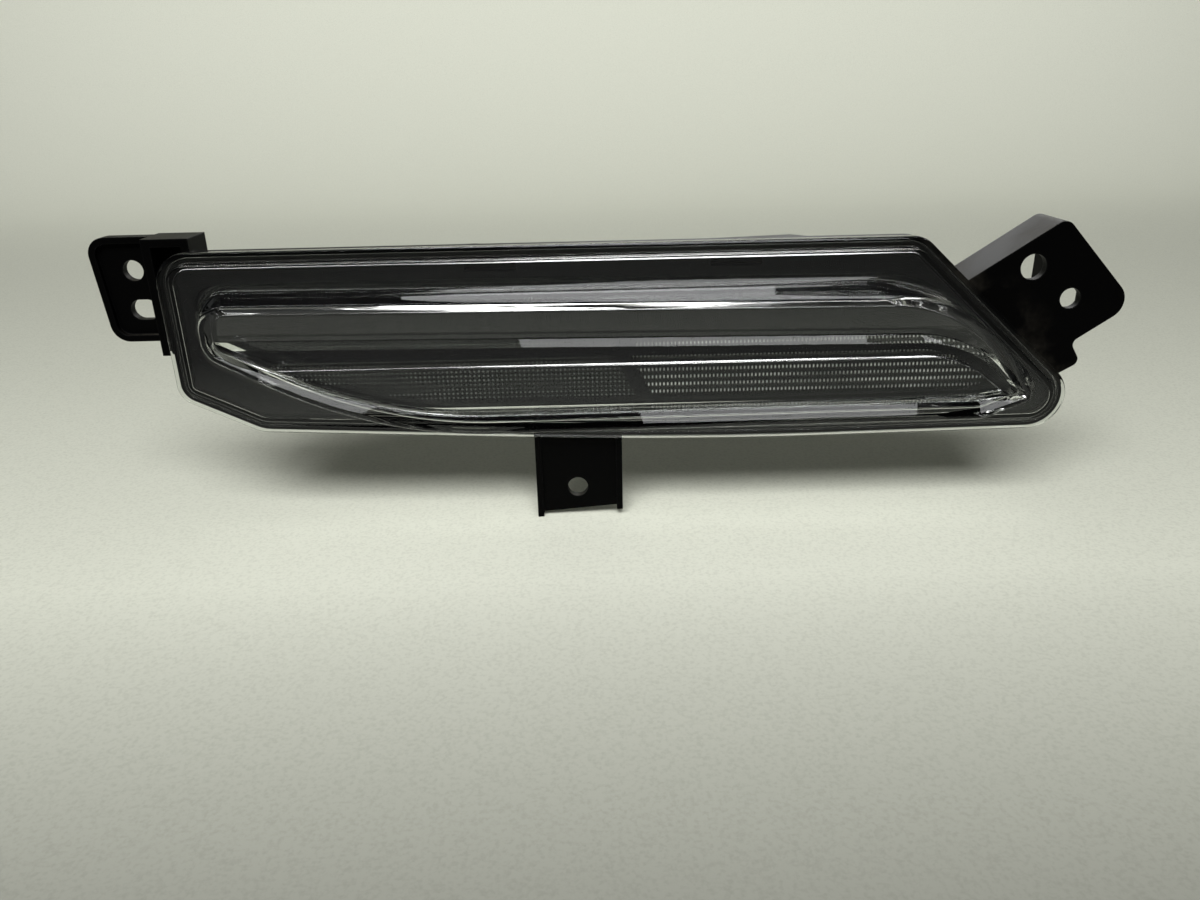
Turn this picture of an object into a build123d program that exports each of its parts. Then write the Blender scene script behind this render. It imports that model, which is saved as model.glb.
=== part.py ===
from build123d import *
import os

# Car reversing and rear fog lamp for a bumper corner, in millimetres.
# x runs along the lamp, y runs backwards from the front of the lens flange and z runs up.
# Everything is drawn about the middle of the lens. The last step moves the origin to the
# screw hole of the centre tab, on the face that the screw head clamps.

# Lens outline, seen from the front
lens_left = -122.9
lens_top = 25.6
lens_bottom = -30.0
lens_shoulder = 85.1
lens_tip = 144.9
lens_belly = 1.6
belly_x = 20.0
belly_radius = 1500.0
corner_cut_x = 21.9
corner_cut_rise = 4.0
corner_cut_z = 10.7
upper_left_radius = 9.0
shoulder_radius = 8.0
tip_radius = 9.7
corner_cut_radius = 12.0
lower_left_radius = 6.0

# Lens section
flange_thickness = 3.0
flange_width = 3.2
flange_edge_radius = 1.2
plateau_rise = 1.0
plateau_edge_radius = 0.5
lens_wall = 2.5
ridge_rise = 6.5
ridge_width = 1.6
valley_drop = 2.3
groove_floor = 0.5
window_rise = 2.0
window_pocket_inset = 1.0
leaf_waist = 57.0
base_low = 3.2
ridge_low = 4.3
frame_left = 14.4
frame_tip = 30.0
frame_waist = 61.0
frame_low = 9.2
window_left = 20.5
window_tip = 33.0
window_waist = 63.0
window_low = 11.6
lens_rebate_width = 4.4
weld_rib_inset = 1.6
weld_rib_width = 1.3
weld_rib_height = 2.0
weld_clearance = 0.1

# Housing tub
rim_inset = 0.6
rim_depth = 6.0
rim_width = 3.8
tub_inset = 2.4
tub_depth = 33.5
tub_wall = 2.4
tub_back_left = 16.0
tub_back_top = 10.5
tub_back_right = 30.0
tub_back_bottom = 5.5
rib_thickness = 1.8
rib_rise = 2.6
rib_count = 6

# Bezel and panes
bezel_thickness = 1.8
bezel_clearance = 0.3
bezel_ledge = 1.5
aperture_left = 24.5
aperture_left_edge = 4.8
aperture_top = 31.0
aperture_bottom = 10.6
aperture_tip = 27.0
aperture_waist = 66.0
bar_top_x = 1.4
bar_lean = 7.2
bar_width = 3.0
pane_lap = 0.7
pane_thickness = 2.4
pane_rib_pitch = 2.2
pane_rib_depth = 0.4
collar_wall = 1.3
collar_length = 4.0
collar_clearance = 0.15
ejector_radius = 3.4
ejector_depth = 0.25
ejector_left = 11.7
ejector_right = 76.1
ejector_drop = 9.0
ejector_low = (15.6, 15.0)
notch_length = 14.0
notch_height = 2.4
notch_places = (-32.3, 34.8)

# Lamp chamber
reflector_gap = 0.5
reflector_wall = 1.0
reflector_tray_depth = 4.0
reflector_cone_radius = 4.8
reflector_length = 11.4
led_hole_radius = 3.2
led_size = 3.6
led_height = 0.9
led_dome_radius = 1.5
led_count = 3
board_thickness = 1.6
board_rise = 0.3
board_corner_cut = 12.0
board_end_gap = 10.0
board_head_room = 10.5
board_corner_radius = 2.0
chip_length = 6.0
chip_width = 5.0
chip_height = 1.6
resistor_count = 6
resistor_length = 2.0
resistor_width = 1.3
resistor_height = 0.6
capacitor_count = 2
capacitor_radius = 3.1
capacitor_height = 5.4
pad_thickness = 0.5
spreader_thickness = 2.0
fin_height = 5.5
fin_thickness = 1.4
fin_pitch = 9.0
spreader_margin = 3.5
post_radius = 3.4
screw_radius = 1.3
screw_head_radius = 2.6
screw_head_height = 1.8
screw_grip = 9.0
screw_clearance = 0.1

# Connector
pin_count = 3
pin_pitch = 5.0
pin_width = 1.6
pin_thickness = 0.8
pin_row_x = 4.0
pin_row_z = -1.5
pin_proud = 1.0
socket_width = 20.0
socket_height = 11.0
socket_depth = 12.0
shroud_wall = 1.6
header_base = 2.5
header_flange = 3.0
header_clearance = 0.2
latch_width = 6.0
latch_rise = 1.4
latch_length = 3.0

# Breather
breather_x = -62.0
breather_z = -4.0
breather_bore = 1.6
breather_seat_radius = 4.4
breather_seat_height = 2.5
membrane_radius = 3.8
membrane_thickness = 0.4
cap_wall = 1.1
cap_clearance = 0.2
cap_slot_width = 1.6
cap_slot_count = 4

# Left bracket
left_plate_reach = 22.3
left_plate_top = 28.8
left_plate_bottom = -0.8
left_plate_depth = 12.0
left_plate_thickness = 2.6
left_plate_radius = 5.0
left_plate_lean = 2.6
left_lip_width = 1.8
left_lip_height = 1.6
left_web_gap = 4.2
left_web_thickness = 2.4
left_web_front = 5.0
left_web_back = 17.0
left_web_foot = 3.0
left_box_width = 13.0
left_box_wall = 2.2
left_upper_hole = (-134.0, 19.3)
left_lower_hole = (-133.0, 8.1)
left_hole_radius = 2.9
left_slot_half_length = 1.1

# Right bracket
right_plate_depth = 4.0
right_plate_thickness = 2.5
right_wall_depth = 15.5
right_wall_thickness = 2.0
right_rib_places = (109.0, 123.2, 137.0)
right_rib_thickness = 1.6
right_rib_setback = 4.0
right_upper_hole = (117.1, 15.9)
right_lower_hole = (128.7, 6.9)
right_upper_hole_radius = 3.6
right_lower_hole_radius = 2.9

# Centre tab
tab_hole_x = -10.5
tab_hole_z = -48.9
tab_hole_radius = 3.1
tab_depth = 8.0
tab_thickness = 2.5
tab_left = 12.5
tab_right = 13.6
tab_foot_left = 8.2
tab_foot_right = 6.1
tab_rib_width = 1.8
tab_rib_lip = 1.2
tab_rib_drop = 1.2
tab_gusset = 11.0

# Ledges along the top of the tub
ledge_top_gap = 0.5
ledge_height = 5.0
ledge_left = (-66.0, -31.0)
ledge_left_depth = (2.0, 10.0)
ledge_right = (-24.0, 58.0)
ledge_right_depth = (1.0, 13.0)
ledge_end_slant = 6.0

# Depths that follow from the sizes above
plateau_front = -plateau_rise
ridge_front = plateau_front - ridge_rise
valley_front = ridge_front + valley_drop
window_front = valley_front - window_rise
hollow_front = valley_front + lens_wall
plateau_back = plateau_front + lens_wall
rim_front = flange_thickness
rim_back = rim_front + rim_depth
bezel_front = rim_front + bezel_clearance
bezel_back = bezel_front + bezel_thickness
pane_front = bezel_back
pane_back = pane_front + pane_thickness
board_front = pane_back + reflector_length
board_back = board_front + board_thickness
pad_back = board_back + pad_thickness
spreader_back = pad_back + spreader_thickness
tub_back = rim_front + tub_depth
tub_floor = tub_back - tub_wall
header_back = tub_back + header_base
socket_back = header_back + socket_depth

# Corners are x, z and rounding radius, clockwise seen from the front
lens_corners = [
    (lens_left, lens_top, upper_left_radius),
    (lens_shoulder, lens_top, shoulder_radius),
    (lens_tip, lens_bottom, tip_radius),
    (belly_x, lens_bottom - lens_belly, belly_radius),
    (lens_left + corner_cut_x, lens_bottom + corner_cut_rise, corner_cut_radius),
    (lens_left, lens_bottom + corner_cut_rise + corner_cut_z, lower_left_radius),
]

# Foot of the raised leaf on the lens, its ridge and the frame around its window
base_corners = [
    (lens_left + 10.6, lens_top - 9.8, 8.0),
    (lens_tip - 53.9, lens_top - 10.6, 54.0),
    (lens_tip - 24.5, lens_bottom + 13.3, 3.0),
    (lens_tip - 38.5, lens_bottom + 4.6, 10.0),
    (lens_left + leaf_waist, lens_bottom + base_low, 130.0),
    (lens_left + 10.6, lens_bottom + 27.8, 8.0),
]
ridge_corners = [
    (lens_left + 12.4, lens_top - 12.9, 7.5),
    (lens_tip - 45.4, lens_top - 14.8, 42.0),
    (lens_tip - 27.0, lens_bottom + 11.4, 2.2),
    (lens_tip - 40.5, lens_bottom + 5.7, 9.0),
    (lens_left + leaf_waist, lens_bottom + ridge_low, 130.0),
    (lens_left + 12.4, lens_bottom + 28.8, 7.0),
]
frame_corners = [
    (lens_left + frame_left, lens_top - 23.1, 1.0),
    (lens_tip - 46.5, lens_top - 25.6, 34.0),
    (lens_tip - frame_tip, lens_bottom + 12.4, 1.5),
    (lens_tip - frame_tip - 11.5, lens_bottom + 10.6, 8.0),
    (lens_left + frame_waist, lens_bottom + frame_low, 130.0),
    (lens_left + frame_left, lens_bottom + 30.6, 1.0),
]

window_corners = [
    (lens_left + window_left, lens_top - 25.2, 0.8),
    (lens_tip - 48.0, lens_top - 27.6, 32.0),
    (lens_tip - window_tip, lens_bottom + 14.3, 1.2),
    (lens_tip - window_tip - 9.0, lens_bottom + 13.3, 8.0),
    (lens_left + window_waist, lens_bottom + window_low, 130.0),
    (lens_left + window_left, lens_bottom + 29.0, 0.8),
]

# Opening of the bezel in front of the panes
aperture_corners = [
    (lens_left + aperture_left, lens_top - aperture_top, 1.5),
    (lens_tip - 49.0, lens_top - aperture_top, 26.0),
    (lens_tip - aperture_tip - 6.5, lens_bottom + aperture_bottom + 2.4, 1.2),
    (lens_tip - 44.0, lens_bottom + aperture_bottom, 8.0),
    (lens_left + aperture_waist, lens_bottom + aperture_bottom, 120.0),
    (lens_left + aperture_left, lens_top - aperture_top - aperture_left_edge, 1.5),
]

# Tub outline at its back wall
tub_back_corners = [
    (lens_left + tub_back_left, lens_top - tub_back_top, 12.0),
    (lens_shoulder - tub_back_top, lens_top - tub_back_top, 12.0),
    (lens_tip - tub_back_right, lens_bottom + tub_back_bottom, 9.0),
    (belly_x, lens_bottom + tub_back_bottom - lens_belly, belly_radius),
    (lens_left + tub_back_left + corner_cut_x, lens_bottom + tub_back_bottom + 3.0, 12.0),
    (lens_left + tub_back_left, lens_bottom + tub_back_bottom + 14.0, 8.0),
]

# Right bracket plate: along its upper edge, down the outer end and back to the lamp
right_plate_corners = [
    (96.0, 10.0, 1.0),
    (99.5, 12.6, 3.0),
    (124.4, 29.0, 3.0),
    (146.9, 5.0, 5.5),
    (131.0, -5.8, 2.0),
    (134.6, -11.6, 2.0),
    (126.0, -16.6, 1.0),
    (118.0, -12.0, 1.0),
]

smallest_radius = 0.2


def inset_corners(corners, inset):
    # Moves every side of a clockwise outline inwards by one distance
    moved = []
    for index, (x, z, radius) in enumerate(corners):
        here = Vector(x, z)
        before = Vector(*corners[index - 1][:2])
        after = Vector(*corners[(index + 1) % len(corners)][:2])
        arriving = (here - before).normalized()
        leaving = (after - here).normalized()
        inward_a = Vector(arriving.Y, -arriving.X)
        inward_b = Vector(leaving.Y, -leaving.X)
        shift = (inward_a + inward_b) * (inset / (1 + inward_a.dot(inward_b)))
        turns_inward = arriving.cross(leaving).Z < 0
        new_radius = radius - inset if turns_inward else radius + inset
        moved.append((x + shift.X, z + shift.Y, max(new_radius, smallest_radius)))
    return moved


def outline(corners, inset=0.0):
    moved = inset_corners(corners, inset)
    path = FilletPolyline(*[(x, z) for x, z, _ in moved], radius=[r for _, _, r in moved], close=True)
    return make_face(path)


def at_depth(face, y):
    return Plane.XZ.offset(-y) * face


def slab(face, front, back):
    return extrude(at_depth(face, back), amount=back - front, dir=(0, -1, 0))


def tapered(front_face, front, back_face, back):
    return loft([at_depth(front_face, front), at_depth(back_face, back)], ruled=True)


def block(x0, x1, y0, y1, z0, z1):
    return Pos((x0 + x1) / 2, (y0 + y1) / 2, (z0 + z1) / 2) * Box(x1 - x0, y1 - y0, z1 - z0)


def rod(x, z, radius, front, back):
    return Pos(x, (front + back) / 2, z) * Rot(90, 0, 0) * Cylinder(radius, back - front)


def front_edges(shape):
    return shape.edges().group_by(Axis.Y)[0]


def bar_line(z):
    # Middle of the slanted bar between the two panes, leaning right as it goes down
    top = lens_top - aperture_top
    bottom = lens_bottom + aperture_bottom
    return bar_top_x + bar_width / 2 + bar_lean * (top - z) / (top - bottom)


def pane(side, inset=0.0):
    # One half of the aperture, on the left (-1) or right (1) of the slanted bar
    high = lens_top
    low = lens_bottom
    edge = side * (bar_width / 2 + inset)
    far = lens_left if side < 0 else lens_tip
    half = Polyline(
        (bar_line(high) + edge, high),
        (far, high),
        (far, low),
        (bar_line(low) + edge, low),
        close=True,
    )
    return outline(aperture_corners, inset) & make_face(half)


def pane_span(side):
    box = pane(side).bounding_box()
    return box.min.X, box.max.X, box.min.Y, box.max.Y


def led_places(side):
    # Lights evenly spaced along one pane, at the middle of its height
    x0, x1, z0, z1 = pane_span(side)
    pitch = (x1 - x0) / (led_count + 0.6)
    middle = (x0 + x1) / 2
    return [(middle + (i - (led_count - 1) / 2) * pitch, (z0 + z1) / 2) for i in range(led_count)]


def board_extent():
    x0 = pane_span(-1)[0] + board_end_gap
    x1 = pane_span(1)[1] - board_end_gap
    z0 = min(pane_span(-1)[2], pane_span(1)[2]) + board_rise
    z1 = lens_top - aperture_top + board_head_room
    return x0, x1, z0, z1


def post_places():
    x0, x1, z0, z1 = board_extent()
    z = z1 - post_radius
    length = x1 - x0
    return [(x0 + length * share, z) for share in (0.12, 0.38, 0.68, 0.88)]


def pin_places():
    first = pin_row_x - pin_pitch * (pin_count - 1) / 2
    return [(first + i * pin_pitch, pin_row_z) for i in range(pin_count)]


def outer_lens():
    flange = slab(outline(lens_corners), 0, flange_thickness)
    flange = fillet(front_edges(flange), flange_edge_radius)
    plateau = slab(outline(lens_corners, flange_width), plateau_front, flange_thickness / 2)
    plateau = fillet(front_edges(plateau), plateau_edge_radius)
    leaf = tapered(outline(ridge_corners), ridge_front, outline(base_corners), plateau_front)
    leaf += slab(outline(base_corners), plateau_front, flange_thickness / 2)
    dish = tapered(outline(ridge_corners, ridge_width), ridge_front, outline(frame_corners), valley_front)
    window = tapered(outline(window_corners), window_front, outline(frame_corners), valley_front)
    window += slab(outline(frame_corners), valley_front, valley_front + lens_wall / 2)
    pocket = slab(
        outline(aperture_corners, window_pocket_inset), window_front + lens_wall, hollow_front + lens_wall / 2
    )
    rebate = slab(outline(lens_corners, lens_rebate_width), plateau_back, flange_thickness)
    groove_front = ridge_front + lens_wall
    hollow = tapered(
        outline(ridge_corners, lens_wall), groove_front, outline(base_corners, lens_wall), plateau_back
    )
    hollow -= tapered(
        outline(ridge_corners, lens_wall + groove_floor), groove_front, outline(frame_corners), hollow_front
    )
    weld_rib = slab(
        outline(lens_corners, weld_rib_inset) - outline(lens_corners, weld_rib_inset + weld_rib_width),
        flange_thickness,
        flange_thickness + weld_rib_height,
    )
    return (flange + plateau + leaf - dish + window) - rebate - hollow - pocket + weld_rib


def tub_section(y, inset):
    # Tub outline at any depth, on the straight taper between its rim and its back
    share = (y - rim_front) / (tub_back - rim_front)
    front = inset_corners(lens_corners, tub_inset + inset)
    back = inset_corners(tub_back_corners, inset)
    mixed = []
    for (xa, za, ra), (xb, zb, rb) in zip(front, back):
        mixed.append((xa + (xb - xa) * share, za + (zb - za) * share, ra + (rb - ra) * share))
    return outline(mixed)


def back_ribs():
    # Upright ribs that stiffen the back wall, trimmed to the tub's taper
    shell = tapered(
        tub_section(rim_front + 1, -rib_rise), rim_front + 1, tub_section(tub_back, -rib_rise), tub_back
    )
    x0 = lens_left + tub_back_left
    x1 = lens_shoulder
    pitch = (x1 - x0) / (rib_count + 1)
    ribs = Part()
    for i in range(rib_count):
        x = x0 + (i + 1) * pitch
        ribs += block(x - rib_thickness / 2, x + rib_thickness / 2, rim_back, tub_back, lens_bottom, lens_top)
    return ribs & shell


def left_bracket():
    x0 = lens_left - left_plate_reach
    web_x = lens_left - left_web_gap
    plate_back = left_plate_depth + left_plate_thickness
    plate_corners = [
        (x0, left_plate_top, left_plate_radius),
        (lens_left + 6, left_plate_top, smallest_radius),
        (lens_left + 6, left_plate_bottom, smallest_radius),
        (x0 + left_plate_lean, left_plate_bottom, left_plate_radius),
    ]
    plate = slab(outline(plate_corners), left_plate_depth, plate_back)
    lip = slab(
        outline(plate_corners) - outline(plate_corners, left_lip_width),
        left_plate_depth - left_lip_height,
        left_plate_depth,
    )
    lip -= block(web_x + left_web_thickness, 0, 0, plate_back, lens_bottom, lens_top + left_lip_width)
    web_low = left_plate_bottom - left_web_foot
    web = block(web_x, web_x + left_web_thickness, left_web_front, left_web_back, web_low, left_plate_top)
    box_right = web_x + left_box_width
    box_low = lens_top - tub_back_top
    box_top = block(web_x, box_right, left_web_front, left_web_back, left_plate_top - left_box_wall, left_plate_top)
    box_end = block(box_right - left_box_wall, box_right, left_web_front, left_web_back, box_low, left_plate_top)
    foot = block(web_x, lens_left + 8, left_plate_depth, left_web_back, web_low, web_low + left_box_wall)
    return plate + lip + web + box_top + box_end + foot


def right_bracket():
    back = right_plate_depth + right_wall_depth
    plate_back = right_plate_depth + right_plate_thickness
    plate = slab(outline(right_plate_corners), right_plate_depth, back)
    pocket = slab(outline(right_plate_corners, right_wall_thickness), plate_back, back)
    for x in right_rib_places:
        half = right_rib_thickness / 2
        pocket -= block(x - half, x + half, plate_back, back - right_rib_setback, lens_bottom, lens_top + half)
    return plate - pocket


def tab_outline(drop):
    # Tab seen from the front: square at the top, with a foot that slopes up to the right
    x0 = tab_hole_x - tab_left
    x1 = tab_hole_x + tab_right
    z0 = tab_hole_z - tab_foot_left - drop
    z1 = tab_hole_z - tab_foot_right - drop
    top = lens_bottom + tub_back_bottom + 2
    return make_face(Polyline((x0, top), (x1, top), (x1, z1), (x0, z0), close=True))


def centre_tab():
    tab_back = tab_depth + tab_thickness
    plate = slab(tab_outline(0), tab_depth, tab_back)
    x0 = tab_hole_x - tab_left
    x1 = tab_hole_x + tab_right
    ribs = Part()
    for edge in (x0, x1 - tab_rib_width):
        side = make_face(
            Polyline(
                (tab_depth - tab_rib_lip, lens_bottom + tub_back_bottom + 2),
                (tab_back + tab_gusset, lens_bottom + tub_back_bottom + 2),
                (tab_back, tab_hole_z),
                (tab_back, tab_hole_z - tab_foot_left - tab_rib_drop),
                (tab_depth - tab_rib_lip, tab_hole_z - tab_foot_left - tab_rib_drop),
                close=True,
            )
        )
        ribs += extrude(Plane.YZ.offset(edge) * side, amount=tab_rib_width)
    trim = slab(tab_outline(tab_rib_drop), 0, tub_back)
    return plate + (ribs & trim)


def ledge(span, depth):
    # Flat ledge on the tub's top whose back edge runs at a slant
    x0, x1 = span
    y0, y1 = depth
    high = lens_top - ledge_top_gap - rim_inset
    plan = make_face(
        Polyline(
            (x0, rim_front + 1),
            (x1, rim_front + 1),
            (x1 - ledge_end_slant * 0.3, rim_front + y1 * 0.7),
            (x1 - ledge_end_slant, rim_front + y1),
            (x0, rim_front + y0),
            close=True,
        )
    )
    return extrude(Plane.XY.offset(high) * plan, amount=-ledge_height)


def slotted_hole(place, radius, half_length, front, back):
    x, z = place
    ends = rod(x - half_length, z, radius, front, back) + rod(x + half_length, z, radius, front, back)
    return ends + block(x - half_length, x + half_length, front, back, z - radius, z + radius)


def header_hole_size():
    return socket_width + 2 * header_clearance, socket_height + 2 * header_clearance


def housing():
    rim = slab(outline(lens_corners, rim_inset), rim_front, rim_back)
    tub = tapered(tub_section(rim_front + 1, 0), rim_front + 1, tub_section(tub_back, 0), tub_back)
    body = rim + tub + back_ribs()
    body += left_bracket() + right_bracket() + centre_tab()
    body += ledge(ledge_left, ledge_left_depth) + ledge(ledge_right, ledge_right_depth)
    seat = slab(outline(lens_corners, rim_inset + rim_width), rim_front, bezel_back)
    cavity_wall = rim_inset + rim_width + bezel_ledge - tub_inset
    cavity = tapered(
        tub_section(bezel_back, cavity_wall), bezel_back, tub_section(tub_floor, tub_wall), tub_floor
    )
    groove_inset = weld_rib_inset - weld_clearance
    groove_width = weld_rib_width + 2 * weld_clearance
    groove = slab(
        outline(lens_corners, groove_inset) - outline(lens_corners, groove_inset + groove_width),
        rim_front,
        rim_front + weld_rib_height + weld_clearance,
    )
    body = body - seat - cavity - groove
    for x, z in post_places():
        body += rod(x, z, post_radius, board_back, tub_floor + tub_wall / 2)
        body -= rod(x, z, screw_radius + screw_clearance, board_back, board_back + screw_grip)
    body += rod(breather_x, breather_z, breather_seat_radius, tub_floor, tub_back + breather_seat_height)
    body -= rod(breather_x, breather_z, breather_bore, tub_floor, tub_back + breather_seat_height)
    hole_width, hole_height = header_hole_size()
    body -= block(
        pin_row_x - hole_width / 2,
        pin_row_x + hole_width / 2,
        tub_floor - 1,
        tub_back + 1,
        pin_row_z - hole_height / 2,
        pin_row_z + hole_height / 2,
    )
    body -= header_seat()
    body -= rod(*left_upper_hole, left_hole_radius, 0, tub_back)
    body -= slotted_hole(
        left_lower_hole, left_hole_radius, left_slot_half_length, left_plate_depth - 3, left_plate_depth + 6
    )
    body -= rod(*right_upper_hole, right_upper_hole_radius, 0, right_plate_depth + right_plate_thickness + 1)
    body -= rod(*right_lower_hole, right_lower_hole_radius, 0, right_plate_depth + right_plate_thickness + 1)
    body -= rod(tab_hole_x, tab_hole_z, tab_hole_radius, 0, tub_back)
    return body


def header_seat():
    # Flat clearing in the back ribs, where the connector flange lies on the wall
    hole_width, hole_height = header_hole_size()
    half_x = hole_width / 2 + header_flange + header_clearance
    half_z = hole_height / 2 + header_flange + header_clearance
    return block(
        pin_row_x - half_x,
        pin_row_x + half_x,
        tub_back,
        tub_back + rib_rise + 1,
        pin_row_z - half_z,
        pin_row_z + half_z,
    )


def inner_bezel():
    # Plate behind the lens, with a collar on its back that the panes and reflectors slide into
    seat_inset = rim_inset + rim_width + bezel_clearance
    collar_back = bezel_back + collar_length
    plate = slab(outline(lens_corners, seat_inset), bezel_front, bezel_back)
    collar = outline(aperture_corners, -collar_clearance - collar_wall)
    plate += slab(collar, bezel_back - bezel_thickness / 2, collar_back)
    for side in (-1, 1):
        plate -= slab(pane(side, pane_lap), bezel_front - 1, collar_back)
        plate -= slab(pane(side, -collar_clearance), bezel_back, collar_back + 1)
    marks = [
        (lens_left + ejector_left, lens_top - ejector_drop),
        (lens_left + ejector_low[0], lens_bottom + ejector_low[1]),
        (lens_tip - ejector_right, lens_top - ejector_drop),
    ]
    for x, z in marks:
        plate -= rod(x, z, ejector_radius, bezel_front - 1, bezel_front + ejector_depth)
    notch_low = lens_top - seat_inset - notch_height
    for x in notch_places:
        half = notch_length / 2
        plate -= block(x - half, x + half, bezel_front - 1, bezel_back + 1, notch_low, lens_top)
    return plate


def rib_profile(start, stop):
    # Saw-tooth strip along one axis: tips on the pane's front, roots one rib depth behind it
    count = int((stop - start) / pane_rib_pitch) + 1
    root = pane_front + pane_rib_depth
    points = []
    for i in range(count):
        points.append((start + i * pane_rib_pitch, root))
        points.append((start + (i + 0.5) * pane_rib_pitch, pane_front))
    end = start + count * pane_rib_pitch
    return points + [(end, root), (end, pane_back + 1), (start, pane_back + 1)]


def pane_optic(side):
    # Reversing pane with upright ribs; the fog pane's ribs cross into square pillows
    x0, x1, z0, z1 = pane_span(side)
    upright = make_face(Polyline(*rib_profile(x0 - 1, x1 + 1), close=True))
    optic = slab(pane(side), pane_front - 1, pane_back)
    optic &= extrude(Plane.XY.offset(z0 - 1) * upright, amount=z1 - z0 + 2)
    if side < 0:
        level = make_face(Polyline(*[(y, z) for z, y in rib_profile(z0 - 1, z1 + 1)], close=True))
        optic &= extrude(Plane.YZ.offset(x0 - 1) * level, amount=x1 - x0 + 2)
    return optic


def pane_reflector(side):
    # Metallised tray: open towards the pane, with a cone sunk in its floor around each light
    floor = pane_back + reflector_tray_depth
    tray = slab(pane(side, reflector_gap), pane_back, board_front)
    tray -= slab(pane(side, reflector_gap + reflector_wall), pane_back, floor)
    for x, z in led_places(side):
        cone = Cone(led_hole_radius, reflector_cone_radius, board_front - floor)
        tray -= Pos(x, (floor + board_front) / 2, z) * Rot(90, 0, 0) * cone
    return tray


def led_board():
    x0, x1, z0, z1 = board_extent()
    corners = [
        (x0, z1, board_corner_radius),
        (x1 - board_corner_cut, z1, board_corner_radius),
        (x1, z1 - board_corner_cut, board_corner_radius),
        (x1, z0, board_corner_radius),
        (x0, z0, board_corner_radius),
    ]
    board = slab(outline(corners), board_front, board_back)
    for x, z in post_places():
        board -= rod(x, z, screw_radius + screw_clearance, board_front, board_back)
    for x, z in pin_places():
        board -= pin_block(x, z, header_clearance / 2, board_front, board_back)
    return board


def pin_block(x, z, gap, front, back):
    half_x = pin_width / 2 + gap
    half_z = pin_thickness / 2 + gap
    return block(x - half_x, x + half_x, front, back, z - half_z, z + half_z)


def led_group(side):
    lights = []
    for x, z in led_places(side):
        half = led_size / 2
        body = block(x - half, x + half, board_front - led_height, board_front, z - half, z + half)
        dome = Pos(x, board_front - led_height, z) * Sphere(led_dome_radius)
        dome -= block(x - half, x + half, board_front - led_height, board_front + half, z - half, z + half)
        lights.append(body + dome)
    return lights


def driver_chip():
    x, z = chip_place()
    return block(
        x - chip_length / 2,
        x + chip_length / 2,
        board_front - chip_height,
        board_front,
        z - chip_width / 2,
        z + chip_width / 2,
    )


def chip_place():
    x0, x1, _, z1 = board_extent()
    return x0 + (x1 - x0) * 0.78, z1 - post_radius


def resistor_group():
    x0, x1, _, z1 = board_extent()
    first = x0 + (x1 - x0) * 0.19
    step = (x1 - x0) * 0.027
    z = z1 - post_radius
    return [
        block(
            first + i * step - resistor_length / 2,
            first + i * step + resistor_length / 2,
            board_front - resistor_height,
            board_front,
            z - resistor_width / 2,
            z + resistor_width / 2,
        )
        for i in range(resistor_count)
    ]


def capacitor_group():
    x0, x1, _, z1 = board_extent()
    z = z1 - capacitor_radius - 0.6
    spots = [x0 + (x1 - x0) * (0.56 + 0.045 * i) for i in range(capacitor_count)]
    return [rod(x, z, capacitor_radius, board_front - capacitor_height, board_front) for x in spots]


def spreader_face(inset):
    x0, x1, z0, z1 = board_extent()
    high = pin_row_z - socket_height / 2 - inset
    low = z0 + inset
    corners = [
        (x0 + spreader_margin + inset, high, 1.0),
        (x1 - spreader_margin - inset, high, 1.0),
        (x1 - spreader_margin - inset, low, 1.0),
        (x0 + spreader_margin + inset, low, 1.0),
    ]
    return outline(corners)


def thermal_pad():
    return slab(spreader_face(0.6), board_back, pad_back)


def heat_spreader():
    plate = slab(spreader_face(0), pad_back, spreader_back)
    box = spreader_face(0).bounding_box()
    count = int((box.size.X - fin_thickness) / fin_pitch)
    first = box.center().X - fin_pitch * (count - 1) / 2
    for i in range(count):
        x = first + i * fin_pitch
        plate += block(
            x - fin_thickness / 2,
            x + fin_thickness / 2,
            spreader_back - spreader_thickness / 2,
            spreader_back + fin_height,
            box.min.Y + fin_thickness,
            box.max.Y - fin_thickness,
        )
    return plate


def board_screws():
    screws = []
    for x, z in post_places():
        head = rod(x, z, screw_head_radius, board_front - screw_head_height, board_front)
        shank = rod(x, z, screw_radius, board_front, board_back + screw_grip - 1)
        recess = rod(x, z, screw_head_radius * 0.45, board_front - screw_head_height, board_front - 0.7)
        screws.append(head + shank - recess)
    return screws


def connector_header():
    hole_width, hole_height = header_hole_size()
    spigot = block(
        pin_row_x - socket_width / 2,
        pin_row_x + socket_width / 2,
        tub_floor,
        tub_back,
        pin_row_z - socket_height / 2,
        pin_row_z + socket_height / 2,
    )
    half_x = hole_width / 2 + header_flange
    half_z = hole_height / 2 + header_flange
    base = block(
        pin_row_x - half_x, pin_row_x + half_x, tub_back, header_back, pin_row_z - half_z, pin_row_z + half_z
    )
    base = fillet(base.edges().filter_by(Axis.Y), header_flange * 0.6)
    outer_x = socket_width / 2 + shroud_wall
    outer_z = socket_height / 2 + shroud_wall
    shroud = block(
        pin_row_x - outer_x, pin_row_x + outer_x, header_back, socket_back, pin_row_z - outer_z, pin_row_z + outer_z
    )
    shroud = fillet(shroud.edges().filter_by(Axis.Y), shroud_wall)
    socket = block(
        pin_row_x - socket_width / 2,
        pin_row_x + socket_width / 2,
        header_back,
        socket_back,
        pin_row_z - socket_height / 2,
        pin_row_z + socket_height / 2,
    )
    top = pin_row_z + outer_z
    ramp = make_face(
        Polyline(
            (socket_back - 1 - latch_length, top),
            (socket_back - 1, top),
            (socket_back - 1 - latch_length, top + latch_rise),
            close=True,
        )
    )
    latch = extrude(Plane.YZ.offset(pin_row_x - latch_width / 2) * ramp, amount=latch_width)
    header = spigot + base + shroud - socket + latch
    for x, z in pin_places():
        header -= pin_block(x, z, 0, tub_floor, header_back)
    return header


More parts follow.
